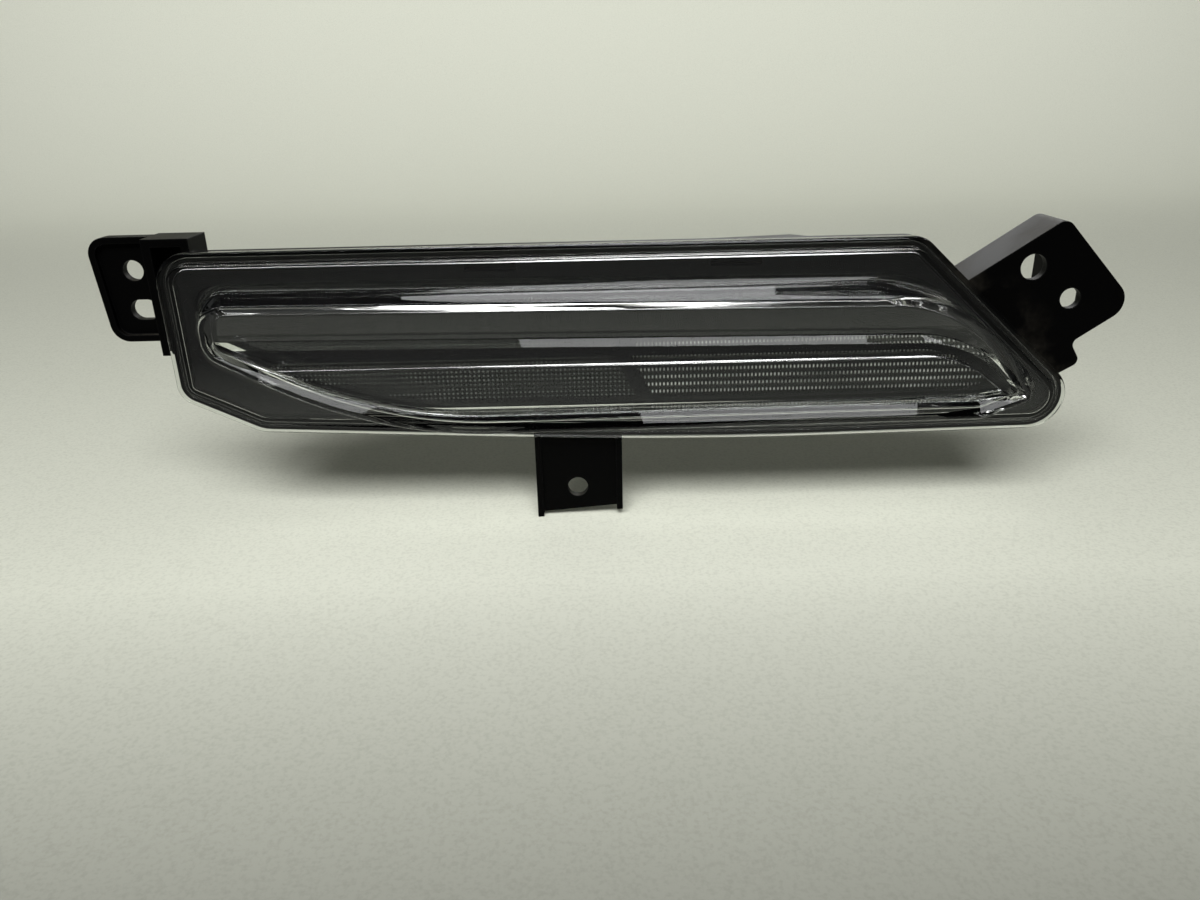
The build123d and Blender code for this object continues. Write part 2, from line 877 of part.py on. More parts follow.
def terminal_pins():
    return [pin_block(x, z, 0, board_front - pin_proud, socket_back - 3) for x, z in pin_places()]


def breather_membrane():
    seat = tub_back + breather_seat_height
    return rod(breather_x, breather_z, membrane_radius, seat, seat + membrane_thickness)


def breather_cap():
    seat = tub_back + breather_seat_height + membrane_thickness
    inner = breather_seat_radius + cap_clearance
    cap = rod(breather_x, breather_z, inner + cap_wall, tub_back, seat + cap_wall)
    cap = fillet(cap.edges().group_by(Axis.Y)[-1], cap_wall * 0.7)
    cap -= rod(breather_x, breather_z, inner, tub_back, seat)
    for i in range(cap_slot_count):
        slot = block(0, inner + 2 * cap_wall, tub_back, tub_back + 1.4, -cap_slot_width / 2, cap_slot_width / 2)
        cap -= Pos(breather_x, 0, breather_z) * Rot(0, i * 360 / cap_slot_count, 0) * slot
    return cap


def build_nodes():
    return {
        "housing": housing(),
        "outer_lens": outer_lens(),
        "inner_bezel": inner_bezel(),
        "fog_optic": pane_optic(-1),
        "reverse_optic": pane_optic(1),
        "fog_reflector": pane_reflector(-1),
        "reverse_reflector": pane_reflector(1),
        "led_board": led_board(),
        "fog_leds": led_group(-1),
        "reverse_leds": led_group(1),
        "driver_chip": driver_chip(),
        "resistors": resistor_group(),
        "capacitors": capacitor_group(),
        "thermal_pad": thermal_pad(),
        "heat_spreader": heat_spreader(),
        "board_screws": board_screws(),
        "connector_header": connector_header(),
        "terminal_pins": terminal_pins(),
        "breather_membrane": breather_membrane(),
        "breather_cap": breather_cap(),
    }


def export_nodes():
    os.makedirs("parts", exist_ok=True)
    to_tab_hole = Location((-tab_hole_x, -tab_depth, -tab_hole_z))
    for name, shape in build_nodes().items():
        whole = Compound(children=shape) if isinstance(shape, list) else shape
        export_step(to_tab_hole * whole, f"parts/{name}.step")


export_nodes()
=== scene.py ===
import math

import bmesh
import bpy
import numpy as np
from mathutils import Matrix, Vector


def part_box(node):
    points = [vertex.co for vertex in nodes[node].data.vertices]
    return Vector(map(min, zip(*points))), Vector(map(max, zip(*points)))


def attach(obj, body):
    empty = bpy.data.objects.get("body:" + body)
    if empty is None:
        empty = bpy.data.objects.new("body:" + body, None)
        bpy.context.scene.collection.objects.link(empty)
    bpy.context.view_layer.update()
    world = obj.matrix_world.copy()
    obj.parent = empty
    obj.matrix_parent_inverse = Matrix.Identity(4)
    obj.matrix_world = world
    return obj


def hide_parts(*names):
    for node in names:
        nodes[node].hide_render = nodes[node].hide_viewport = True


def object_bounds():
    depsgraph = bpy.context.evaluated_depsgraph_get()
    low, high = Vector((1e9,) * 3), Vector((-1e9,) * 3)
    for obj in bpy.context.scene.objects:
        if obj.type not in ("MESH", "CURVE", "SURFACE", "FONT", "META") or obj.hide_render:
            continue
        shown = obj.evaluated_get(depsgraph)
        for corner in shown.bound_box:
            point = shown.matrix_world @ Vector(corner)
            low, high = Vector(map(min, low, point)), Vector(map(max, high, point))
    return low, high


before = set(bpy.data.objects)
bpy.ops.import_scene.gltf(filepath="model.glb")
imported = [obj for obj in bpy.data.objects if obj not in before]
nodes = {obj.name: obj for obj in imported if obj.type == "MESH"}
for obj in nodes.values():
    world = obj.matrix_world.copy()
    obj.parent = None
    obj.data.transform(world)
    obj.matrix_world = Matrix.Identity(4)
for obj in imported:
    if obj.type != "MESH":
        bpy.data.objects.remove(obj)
cadLow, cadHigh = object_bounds()
mm = 0.001
print("frame loaded:", len(nodes), "nodes")

# Drawing frame of the lamp: millimetres, x right, y back, z up, from the middle of the lens flange.
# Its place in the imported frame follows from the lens: left edge, ridge front and top edge.
drawing = {"lensLeft": -122.9, "ridgeFront": -7.5, "lensTop": 25.6}
lensLow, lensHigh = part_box("outer_lens")
drawingOrigin = np.array(
    [
        lensLow.x / mm - drawing["lensLeft"],
        lensLow.y / mm - drawing["ridgeFront"],
        lensHigh.z / mm - drawing["lensTop"],
    ]
)


def toFrame(points):
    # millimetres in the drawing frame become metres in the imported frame
    return (np.asarray(points, float) + drawingOrigin) * mm


# Materials

srgb = {"knee": 0.04045, "slope": 12.92, "offset": 0.055, "power": 2.4}


def linear(hexText):
    # sRGB hex to linear light, channel by channel: a slope below the knee and a power above it
    channels = np.array([int(hexText[i : i + 2], 16) for i in (1, 3, 5)]) / 255.0
    low = channels / srgb["slope"]
    high = ((channels + srgb["offset"]) / (1 + srgb["offset"])) ** srgb["power"]
    return (*np.where(channels <= srgb["knee"], low, high).tolist(), 1.0)


def perSize(sizeMm):
    # scale of a texture whose features are this many millimetres wide, on metre coordinates
    return 1.0 / (sizeMm * mm)


def addNode(tree, kind, inputs=None, **settings):
    # one shader node: settings are its properties, inputs its sockets, each a value or a socket to link
    node = tree.nodes.new("ShaderNode" + kind)
    for name, value in settings.items():
        setattr(node, name, value)
    for name, value in (inputs or {}).items():
        if isinstance(value, bpy.types.NodeSocket):
            tree.links.new(value, node.inputs[name])
        else:
            node.inputs[name].default_value = value
    return node


def remap(tree, value, fromRange, toRange=(0.0, 1.0)):
    # straight line from one range to another, held at both ends
    inputs = {
        "Value": value,
        "From Min": fromRange[0],
        "From Max": fromRange[1],
        "To Min": toRange[0],
        "To Max": toRange[1],
    }
    return addNode(tree, "MapRange", inputs).outputs[0]


def product(tree, first, second):
    # one value times another
    return addNode(tree, "Math", {0: first, 1: second}, operation="MULTIPLY").outputs[0]


def vectorStep(tree, operation, first, second, output="Vector"):
    # one operation on two vectors; a dot product is read from the output named Value
    return addNode(tree, "VectorMath", {0: first, 1: second}, operation=operation).outputs[output]


def blend(tree, share, colourA, colourB):
    # colour A times one minus the share, plus colour B times the share
    return addNode(tree, "MixRGB", {"Fac": share, "Color1": colourA, "Color2": colourB}).outputs[0]


def noise(tree, coords, sizeMm, detail):
    # fractal noise whose largest features are this many millimetres wide
    inputs = {"Vector": coords, "Scale": perSize(sizeMm), "Detail": detail}
    return addNode(tree, "TexNoise", inputs).outputs["Fac"]


def startMaterial(name):
    # an empty material, its node tree and the object's own coordinates in metres
    material = bpy.data.materials.new(name)
    material.use_nodes = True
    tree = material.node_tree
    tree.nodes.clear()
    return material, tree, addNode(tree, "TexCoord").outputs["Object"]


def endMaterial(tree, inputs):
    # one principled surface, linked to the material's output
    surface = addNode(tree, "BsdfPrincipled", inputs)
    addNode(tree, "OutputMaterial", {"Surface": surface.outputs[0]})


plasticIor = 1.49  # acrylic and polypropylene alike

housingFinish = {
    "black": "#030303",
    "blackWorn": "#101011",
    # one pale colour for dust and for the painted light beside the slanted rim end
    "dustAndPaintedLight": "#8d8778",
    "grainMm": 0.55,
    "grainDeepMm": 0.06,
    "grainStrength": 0.25,
    "patchMm": 22.0,
    "patchRange": (0.42, 0.72),
    "speckMm": 1.3,
    "speckRange": (0.2, 0.75),
    "edgeMm": 0.5,
    "edgeRange": (0.99, 0.85),
    "edgeShare": (0.0, 0.7),
    "lyingRange": (0.15, 0.9),
    "dustAndPaintedLightMost": 0.17,
    "dustAndPaintedLightRange": (0.0, 0.3),
    "roughness": (0.4, 0.85),
    "gloss": 0.03,
}
# the slanted rim end in the drawing frame, the direction away from it, how far the painted light of the
# wall lit from above reaches that way, and where the rim itself lies
paintedLightCorner = {
    "from": (85.1, 0.0, 25.6),
    "across": (0.681, 0.0, 0.733),
    "reachMm": 11.0,
    "rimMm": (-2.0, -1.0),
}


def mouldedPolypropylene():
    # talc-filled polypropylene from a spark-eroded mould: dull black with a fine grain, greyer on
    # handled edges. Dust on faces that look up, and a band of painted light beside the slanted rim end
    # where the wall is lit
    # from above, take one pale colour: the larger of the two masks, times the patches, times the specks,
    # times the most there may be
    finish = housingFinish
    corner = paintedLightCorner
    material, tree, coords = startMaterial("mouldedPolypropylene")
    surfaceNormal = addNode(tree, "NewGeometry").outputs["Normal"]
    grain = noise(tree, coords, finish["grainMm"], detail=3.0)
    patch = remap(tree, noise(tree, coords, finish["patchMm"], detail=5.0), finish["patchRange"])
    speck = remap(tree, noise(tree, coords, finish["speckMm"], detail=6.0), finish["speckRange"])
    rounded = addNode(tree, "Bevel", {"Radius": finish["edgeMm"] * mm}, samples=4).outputs["Normal"]
    facing = vectorStep(tree, "DOT_PRODUCT", rounded, surfaceNormal, "Value")
    edge = remap(tree, facing, finish["edgeRange"], finish["edgeShare"])
    upward = addNode(tree, "SeparateXYZ", {0: surfaceNormal}).outputs["Z"]
    lying = remap(tree, upward, finish["lyingRange"])
    rimEnd = Vector(toFrame([corner["from"]])[0].tolist())
    fromRim = vectorStep(tree, "SUBTRACT", coords, rimEnd)
    across = vectorStep(tree, "DOT_PRODUCT", fromRim, corner["across"], "Value")
    near = remap(tree, across, (corner["reachMm"] * mm, 0.0))
    outside = remap(tree, across, [edgeMm * mm for edgeMm in corner["rimMm"]])
    # painted light: a band beside the slanted rim end, where the wall is lit from above
    paintedLightBand = product(tree, near, outside)
    settledDustAndPaintedLight = addNode(tree, "Math", {0: lying, 1: paintedLightBand}, operation="MAXIMUM").outputs[0]
    brokenDustAndPaintedLight = product(tree, product(tree, settledDustAndPaintedLight, patch), speck)
    dustAndPaintedLight = product(tree, brokenDustAndPaintedLight, finish["dustAndPaintedLightMost"])
    worn = blend(tree, edge, linear(finish["black"]), linear(finish["blackWorn"]))
    relief = {
        "Height": grain,
        "Strength": finish["grainStrength"],
        "Distance": finish["grainDeepMm"] * mm,
        "Normal": rounded,
    }
    # base colour and roughness: dust, and painted light in the band beside the slanted rim end
    surface = {
        "Base Color": blend(tree, dustAndPaintedLight, worn, linear(finish["dustAndPaintedLight"])),
        "Roughness": remap(tree, dustAndPaintedLight, finish["dustAndPaintedLightRange"], finish["roughness"]),
        "Normal": addNode(tree, "Bump", relief).outputs[0],
        "IOR": plasticIor,
        "Specular IOR Level": finish["gloss"],
    }
    endMaterial(tree, surface)
    return material


lensFinish = {
    "clear": "#f6f8f6",
    "sheen": "#dedfe0",
    "hazeMm": 16.0,
    "hazeRange": (0.45, 0.8),
    "roughness": (0.01, 0.05),
}


def clearAcrylic():
    # injection-moulded acrylic: water-clear with a polished face, hazed a little by old polish. The grey
    # sheen holds its reflections down a little
    finish = lensFinish
    material, tree, coords = startMaterial("clearAcrylic")
    haze = noise(tree, coords, finish["hazeMm"], detail=6.0)
    surface = {
        "Base Color": linear(finish["clear"]),
        "Roughness": remap(tree, haze, finish["hazeRange"], finish["roughness"]),
        "IOR": plasticIor,
        "Transmission Weight": 1.0,
        "Specular Tint": linear(finish["sheen"]),
    }
    endMaterial(tree, surface)
    return material


paneFinish = {
    # painted shade: the dark ground of the panes
    "paintedShadeGround": "#0d0e0d",
    "waveRange": (-0.1, 1.0),
    "cloudAcrossMm": 26.0,
    "cloudDownMm": 3.2,
    "cloudRange": (0.3, 0.65),
    "highlightStreakShare": (0.15, 1.0),
    "roughness": 0.12,
    "clearShare": 0.3,
}
# width and height of one pillow in millimetres
fogPitch = (1.3, 1.3)
reversePitch = (1.1, 2.2)


def pressedAcrylic(name, pitches, paintedHighlightColour):
    # the inner panes: clear acrylic on a dark ground of painted shade, whose pillows each carry a pale
    # spot of painted highlight. A spot is the product of two clipped cosine waves, across and down,
    # times long level streaks of painted highlight
    finish = paneFinish
    material, tree, coords = startMaterial(name)
    start = Vector(toFrame([[0, 0, 0]])[0].tolist())
    place = vectorStep(tree, "SUBTRACT", coords, start)
    axes = addNode(tree, "SeparateXYZ", {0: place})
    peaks = []
    for axis, pitchMm in zip("XZ", pitches):
        turn = product(tree, axes.outputs[axis], 2 * math.pi * perSize(pitchMm))
        wave = addNode(tree, "Math", {0: turn}, operation="COSINE").outputs[0]
        peaks.append(remap(tree, wave, finish["waveRange"]))
    # painted highlight: one pale spot on each pillow
    highlightSpots = product(tree, *peaks)
    cloudScale = (perSize(finish["cloudAcrossMm"]), 1.0, perSize(finish["cloudDownMm"]))
    stretched = vectorStep(tree, "MULTIPLY", place, cloudScale)
    cloud = addNode(tree, "TexNoise", {"Vector": stretched, "Scale": 1.0, "Detail": 2.0}).outputs["Fac"]
    # level streaks of painted highlight across the spots
    highlightStreaks = remap(tree, cloud, finish["cloudRange"], finish["highlightStreakShare"])
    paintedHighlight = product(tree, highlightSpots, highlightStreaks)
    # base colour: painted shade on the ground, painted highlight on the spots
    surface = {
        "Base Color": blend(tree, paintedHighlight, linear(finish["paintedShadeGround"]), linear(paintedHighlightColour)),
        "Roughness": finish["roughness"],
        "IOR": plasticIor,
        "Transmission Weight": finish["clearShare"],
    }
    endMaterial(tree, surface)
    return material


plainPattern = {"range": (0.3, 0.7), "detail": 4.0, "reliefStrength": 0.4}


def plainFinish(name, colours, roughness, patternMm, metallic=0.0, bumpMm=0.0, gloss=0.5):
    # two close shades and two roughnesses mixed by one noise, with the same noise as relief
    material, tree, coords = startMaterial(name)
    pattern = noise(tree, coords, patternMm, plainPattern["detail"])
    share = remap(tree, pattern, plainPattern["range"])
    surface = {
        "Base Color": blend(tree, share, linear(colours[0]), linear(colours[1])),
        "Roughness": remap(tree, share, (0.0, 1.0), roughness),
        "Metallic": metallic,
        "Specular IOR Level": gloss,
    }
    if bumpMm:
        relief = {"Height": pattern, "Strength": plainPattern["reliefStrength"], "Distance": bumpMm * mm}
        surface["Normal"] = addNode(tree, "Bump", relief).outputs[0]
    endMaterial(tree, surface)
    return material


plainFinishes = {
    # gloss-moulded ABS behind the lens: deep black, nearly a mirror, with faint flow marks
    "glossBlackAbs": {
        "colours": ("#030304", "#050506"),
        "roughness": (0.08, 0.15),
        "patternMm": 18.0,
        "gloss": 0.2,
    },
    # aluminium vapour on plastic: a soft grey mirror
    "vacuumMetallisedAluminium": {
        "colours": ("#7c7e81", "#96989a"),
        "roughness": (0.2, 0.34),
        "patternMm": 7.0,
        "metallic": 1.0,
    },
    # solder mask on glass epoxy: white, half gloss
    "whiteSolderMask": {
        "colours": ("#dcdcd4", "#e8e8e0"),
        "roughness": (0.35, 0.5),
        "patternMm": 1.5,
        "bumpMm": 0.01,
    },
    # phosphor in silicone: egg yellow and waxy
    "phosphorSilicone": {
        "colours": ("#d9b83a", "#e6cb5a"),
        "roughness": (0.3, 0.42),
        "patternMm": 0.6,
    },
    # transfer-moulded epoxy: black and matt
    "blackEpoxy": {
        "colours": ("#131314", "#1c1c1d"),
        "roughness": (0.55, 0.7),
        "patternMm": 0.4,
        "bumpMm": 0.01,
    },
    # drawn aluminium can: pale satin metal
    "drawnAluminium": {
        "colours": ("#b9bbbd", "#c9cacc"),
        "roughness": (0.28, 0.4),
        "patternMm": 1.2,
        "metallic": 1.0,
    },
    # filled silicone sheet: soft grey
    "greySilicone": {
        "colours": ("#7d8084", "#8b8e92"),
        "roughness": (0.6, 0.75),
        "patternMm": 0.8,
        "bumpMm": 0.02,
    },
    # die-cast aluminium, tumbled: grey with a fine sand skin
    "castAluminium": {
        "colours": ("#8f9193", "#a3a5a7"),
        "roughness": (0.38, 0.55),
        "patternMm": 0.5,
        "metallic": 1.0,
        "bumpMm": 0.03,
    },
    # zinc-plated steel: bright blue-grey
    "zincPlatedSteel": {
        "colours": ("#aeb2b6", "#c2c5c6"),
        "roughness": (0.25, 0.4),
        "patternMm": 1.0,
        "metallic": 1.0,
    },
    # glass-filled polyester of the connector: black, slightly silky, with short fibre marks
    "blackGlassPolyester": {
        "colours": ("#0d0d0e", "#171718"),
        "roughness": (0.38, 0.5),
        "patternMm": 0.7,
        "bumpMm": 0.02,
    },
    # tinned brass pins: warm pale metal
    "tinnedBrass": {
        "colours": ("#b8a878", "#c9bd97"),
        "roughness": (0.25, 0.38),
        "patternMm": 0.8,
        "metallic": 1.0,
    },
    # expanded fluoropolymer film: white felt-like skin
    "whiteVentFilm": {
        "colours": ("#e4e4e0", "#efefeb"),
        "roughness": (0.7, 0.85),
        "patternMm": 0.3,
        "bumpMm": 0.02,
    },
    # soft black thermoplastic of the breather cap
    "blackThermoplasticRubber": {
        "colours": ("#101011", "#181819"),
        "roughness": (0.55, 0.7),
        "patternMm": 0.9,
        "bumpMm": 0.02,
    },
}

nodeFinish = {
    "housing": "mouldedPolypropylene",
    "inner_bezel": "glossBlackAbs",
    "fog_reflector": "vacuumMetallisedAluminium",
    "reverse_reflector": "vacuumMetallisedAluminium",
    "led_board": "whiteSolderMask",
    "fog_leds": "phosphorSilicone",
    "reverse_leds": "phosphorSilicone",
    "driver_chip": "blackEpoxy",
    "resistors": "blackEpoxy",
    "capacitors": "drawnAluminium",
    "thermal_pad": "greySilicone",
    "heat_spreader": "castAluminium",
    "board_screws": "zincPlatedSteel",
    "connector_header": "blackGlassPolyester",
    "terminal_pins": "tinnedBrass",
    "breather_membrane": "whiteVentFilm",
    "breather_cap": "blackThermoplasticRubber",
}

finishes = {"mouldedPolypropylene": mouldedPolypropylene()}
acrylic = clearAcrylic()
# the last colour given to each pane is the colour of its painted highlight
fogAcrylic = pressedAcrylic("pillowAcrylic", fogPitch, "#646661")
reverseAcrylic = pressedAcrylic("ribbedAcrylic", reversePitch, "#c0c2ba")
for finishName, settings in plainFinishes.items():
    finishes[finishName] = plainFinish(finishName, **settings)
for nodeName, finishName in nodeFinish.items():
    nodes[nodeName].data.materials.clear()
    nodes[nodeName].data.materials.append(finishes[finishName])
print("finishes on", len(nodeFinish), "nodes")

# Surfaces

leastRadius = 0.2  # millimetres, of an outline's corner after an inset
mergeMm = 0.002  # points nearer than this are one


def insetCorners(corners, inset):
    # every side moves inwards by one distance: a corner shifts along the sum of its two inward normals
    corner = np.array(corners, float)
    place, radius = corner[:, :2], corner[:, 2]
    arriving = place - np.roll(place, 1, axis=0)
    arriving /= np.linalg.norm(arriving, axis=1, keepdims=True)
    leaving = np.roll(arriving, -1, axis=0)
    inwardA = np.stack([arriving[:, 1], -arriving[:, 0]], axis=1)
    inwardB = np.stack([leaving[:, 1], -leaving[:, 0]], axis=1)
    shift = (inwardA + inwardB) * (inset / (1 + (inwardA * inwardB).sum(1)))[:, None]
    return place + shift, np.maximum(radius - inset, leastRadius), arriving, leaving, inwardA


def ringOf(corners, inset=0.0, perArc=18, perSide=10):
    # a rounded outline with the same number of points for every list of corners: each corner is an arc
    # about a centre one radius inside, and straight sides run between the arcs
    place, radius, arriving, leaving, inward = insetCorners(corners, inset)
    turn = np.arccos(np.clip((arriving * leaving).sum(1), -1, 1))
    run = radius * np.tan(turn / 2)
    start = place - arriving * run[:, None]
    centre = start + inward * radius[:, None]
    angle = turn[:, None] * np.linspace(0, 1, perArc)[None, :]
    arc = (
        centre[:, None]
        - inward[:, None] * (radius[:, None] * np.cos(angle))[..., None]
        + arriving[:, None] * (radius[:, None] * np.sin(angle))[..., None]
    )
    share = (np.arange(1, perSide + 1) / (perSide + 1))[None, :, None]
    side = arc[:, -1:] * (1 - share) + np.roll(arc[:, :1], -1, axis=0) * share
    return np.concatenate([arc, side], axis=1).reshape(-1, 2)


def atDepth(ring, depth):
    # an outline at one depth, as points of the drawing frame
    return np.stack([ring[:, 0], np.full(len(ring), depth), ring[:, 1]], axis=1)


def roundedStack(stations, radii, steps=6, furthest=0.47, lead=0.015, leastGap=1e-6):
    # outlines joined in order, with every inner one softened: the section's corner there becomes a
    # parabola that starts and ends one radius away, or just under half way to the next outline. One more
    # row a short lead beyond each end keeps the straight parts flat
    here, before, after = stations[1:-1], stations[:-2], stations[2:]
    reach = np.asarray(radii, float)[:, None, None]

    def towards(other, extra):
        # the point that share of the way to the other outline
        gap = np.linalg.norm(other - here, axis=2, keepdims=True)
        return here + (other - here) * (np.minimum(furthest, reach / np.maximum(gap, leastGap)) + extra)

    t = np.linspace(0, 1, steps)[:, None, None, None]
    curve = (1 - t) ** 2 * towards(before, 0) + 2 * t * (1 - t) * here + t**2 * towards(after, 0)
    curve = np.concatenate([towards(before, lead)[None], curve, towards(after, lead)[None]])
    rows = curve.transpose(1, 0, 2, 3).reshape(-1, *stations.shape[1:])
    return np.concatenate([stations[:1], rows, stations[-1:]])


def tubeFaces(rows, columns):
    # quads between neighbouring closed rings
    i = np.arange(rows - 1)[:, None]
    j = np.arange(columns)[None, :]
    k = (j + 1) % columns
    corners = [i * columns + j, i * columns + k, (i + 1) * columns + k, (i + 1) * columns + j]
    return np.stack(corners, axis=-1).reshape(-1, 4)


def newPiece(name, points, faces, material, replaced):
    # mesh from whole arrays, doubles merged, slivers dissolved, faces turned outwards
    mesh = bpy.data.meshes.new(name)
    mesh.from_pydata(toFrame(points).tolist(), [], [list(f) for f in faces])
    work = bmesh.new()
    work.from_mesh(mesh)
    bmesh.ops.remove_doubles(work, verts=work.verts, dist=mergeMm * mm)
    bmesh.ops.dissolve_degenerate(work, dist=mergeMm * mm, edges=work.edges)
    bmesh.ops.recalc_face_normals(work, faces=work.faces)
    work.to_mesh(mesh)
    work.free()
    mesh.shade_smooth()
    mesh.materials.append(material)
    piece = bpy.data.objects.new(name, mesh)
    bpy.context.scene.collection.objects.link(piece)
    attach(piece, "root")
    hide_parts(replaced)
    print("piece", name, len(mesh.polygons), "faces")
    return piece


# Outlines in millimetres: x and z of each corner and its radius, clockwise from the upper left
outlines = {
    "lens": [
        (-122.9, 25.6, 9),
        (85.1, 25.6, 8),
        (144.9, -30, 9.7),
        (20, -31.6, 1500),
        (-101, -26, 12),
        (-122.9, -15.3, 6),
    ],
    "base": [
        (-112.3, 15.8, 8),
        (91, 15, 54),
        (120.4, -16.7, 3),
        (106.4, -25.4, 10),
        (-65.9, -26.8, 130),
        (-112.3, -2.2, 8),
    ],
    "ridge": [
        (-110.5, 12.7, 7.5),
        (99.5, 10.8, 42),
        (117.9, -18.6, 2.2),
        (104.4, -24.3, 9),
        (-65.9, -25.7, 130),
        (-110.5, -1.2, 7),
    ],
    "frame": [
        (-108.5, 2.5, 1),
        (98.4, 0, 34),
        (114.9, -17.6, 1.5),
        (103.4, -19.4, 8),
        (-61.9, -20.8, 130),
        (-108.5, 0.6, 1),
    ],
    "window": [
        (-102.4, 0.4, 0.8),
        (96.9, -2, 32),
        (111.9, -15.7, 1.2),
        (102.9, -16.7, 8),
        (-59.9, -18.4, 130),
        (-102.4, -1, 0.8),
    ],
    "aperture": [
        (-98.4, -5.4, 1.5),
        (95.9, -5.4, 26),
        (111.4, -17, 1.2),
        (100.9, -19.4, 8),
        (-56.9, -19.4, 120),
        (-98.4, -10.2, 1.5),
    ],
}

# Section of the lens from the middle of its window, over the ridge and the flange, to the middle of
# its hollow back: outline, inset, depth and softening, all in millimetres
lensSection = {
    "capShare": 0.96,
    "stations": [
        ("window", 0.0, -7.2, 0.35),
        ("frame", 0.0, -5.2, 0.35),
        ("ridge", 1.5, -7.5, 0.5),
        ("ridge", 0.0, -7.5, 2.0),
        ("base", 0.0, -1.0, 2.4),
        ("lens", 3.2, -1.0, 0.5),
        ("lens", 3.2, 0.0, 0.3),
        ("lens", 0.0, 0.0, 1.2),
        ("lens", 0.0, 3.0, 0.3),
        ("lens", 1.6, 3.0, 0.2),
        ("lens", 1.6, 5.0, 0.3),
        ("lens", 2.9, 5.0, 0.3),
        ("lens", 2.9, 3.0, 0.2),
        ("lens", 4.4, 3.0, 0.3),
        ("lens", 4.4, 1.5, 0.4),
        ("base", 2.5, 1.5, 0.8),
        ("ridge", 2.5, -5.0, 0.3),
        ("ridge", 3.0, -5.0, 0.3),
        ("frame", 0.0, -2.7, 0.5),
        ("aperture", 1.0, -2.7, 0.4),
        ("aperture", 1.0, -4.7, 0.4),
    ],
}


def lensShell():
    # rounded outlines stacked front to back; the first and last rings are closed by flat faces, each
    # over a copy of its ring drawn in towards the middle
    rings = []
    softenings = []
    for name, inset, depth, softening in lensSection["stations"]:
        rings.append(atDepth(ringOf(outlines[name], inset), depth))
        softenings.append(softening)
    caps = []
    for ring in (rings[0], rings[-1]):
        middle = ring.mean(axis=0)
        caps.append(middle + (ring - middle) * lensSection["capShare"])
    rows = roundedStack(np.stack([caps[0], *rings, caps[1]]), softenings)
    count, columns = rows.shape[:2]
    faces = tubeFaces(count, columns).tolist()
    faces.append(list(range(columns)))
    faces.append(list(range((count - 1) * columns, count * columns)))
    return newPiece("clearLens", rows.reshape(-1, 3), faces, acrylic, "outer_lens")


paneShape = {
    "front": 5.1,
    "back": 7.5,
    "barTop": 2.9,
    "barLean": 7.2,
    "barWidth": 3.0,
    "barHigh": -5.4,
    "barLow": -19.4,
    "relief": 0.5,
    "samples": 4,
}


def span(ring):
    # upper and lower edge of a convex outline as functions of x
    left, right = np.argmin(ring[:, 0]), np.argmax(ring[:, 0])
    turned = np.roll(ring, -left, axis=0)
    turn = (right - left) % len(ring)
    over, under = turned[: turn + 1], np.concatenate([turned[turn:], turned[:1]])[::-1]

    def upper(x):
        # height on the upper edge, straight between its points
        return np.interp(x, over[:, 0], over[:, 1])

    def lower(x):
        # height on the lower edge, straight between its points
        return np.interp(x, under[:, 0], under[:, 1])

    return upper, lower


def ribbedPane(name, side, replaced, material, pitches):
    # a grid on the pillows' pitch, pressed onto the pane's outline at its edges and onto the bar between
    # the panes. The front falls back from each pillow's middle: relief times half the sum of the squares
    # of the distances from it, across and along, each as a share of half the pitch
    shape = paneShape
    pitch, rowPitch = pitches
    ring = ringOf(outlines["aperture"])
    upper, lower = span(ring)
    step = pitch / shape["samples"]
    rise = rowPitch / shape["samples"]
    columns = step * np.arange(ring[:, 0].min() // step, ring[:, 0].max() // step + 2)
    rows = rise * np.arange(ring[:, 1].min() // rise, ring[:, 1].max() // rise + 2)
    x, z = np.meshgrid(columns, rows)
    drop = (shape["barHigh"] - z) / (shape["barHigh"] - shape["barLow"])
    bar = shape["barTop"] + shape["barLean"] * drop + side * shape["barWidth"] / 2
    x = np.minimum(x, bar) if side < 0 else np.maximum(x, bar)
    x = np.clip(x, ring[:, 0].min(), ring[:, 0].max())
    z = np.clip(z, lower(x), upper(x))
    across = 2 * np.mod(x / pitch + 0.5, 1) - 1
    along = 2 * np.mod(z / rowPitch + 0.5, 1) - 1
    fall = (across**2 + along**2) / 2
    front = np.stack([x, shape["front"] + shape["relief"] * fall, z], axis=-1)
    back = np.stack([x, np.full_like(x, shape["back"]), z], axis=-1)
    high, wide = x.shape
    index = np.arange(high * wide).reshape(high, wide)
    corners = [index[:-1, :-1], index[:-1, 1:], index[1:, 1:], index[1:, :-1]]
    cells = np.stack(corners, axis=-1).reshape(-1, 4)
    edge = np.concatenate([index[0, :-1], index[:-1, -1], index[-1, :0:-1], index[:0:-1, 0]])
    behind = edge + high * wide
    walls = np.stack([edge, np.roll(edge, -1), np.roll(behind, -1), behind], axis=1)
    faces = np.concatenate([cells, cells[:, ::-1] + high * wide, walls])
    points = np.concatenate([front.reshape(-1, 3), back.reshape(-1, 3)])
    return newPiece(name, points, faces, material, replaced)


clearLens = lensShell()
fogPane = ribbedPane("fogPillowPane", -1, "fog_optic", fogAcrylic, fogPitch)
reversePane = ribbedPane("reverseRibbedPane", 1, "reverse_optic", reverseAcrylic, reversePitch)
# clear plastic lets the lamps' light through, so the bezel and the panes behind it are lit
for clearPiece in (clearLens, fogPane, reversePane):
    clearPiece.visible_shadow = False

# Stage, light and camera, in metres unless a name says otherwise

stageShape = {
    "halfWidth": 2.2,
    "front": -1.6,
    "bend": 0.75,
    "bendRadius": 0.5,
    "bendSteps": 24,
    "top": 1.9,
    "colour": "#d8dacc",
    "speckle": "#cccec0",
    "speckleMm": 0.9,
    "speckleRange": (0.45, 0.7),
    # colour of the painted shade nearest the camera
    "near": "#484842",
    "paintedFloorShadeRange": (-0.04, -0.2),
    "roughness": 0.6,
}


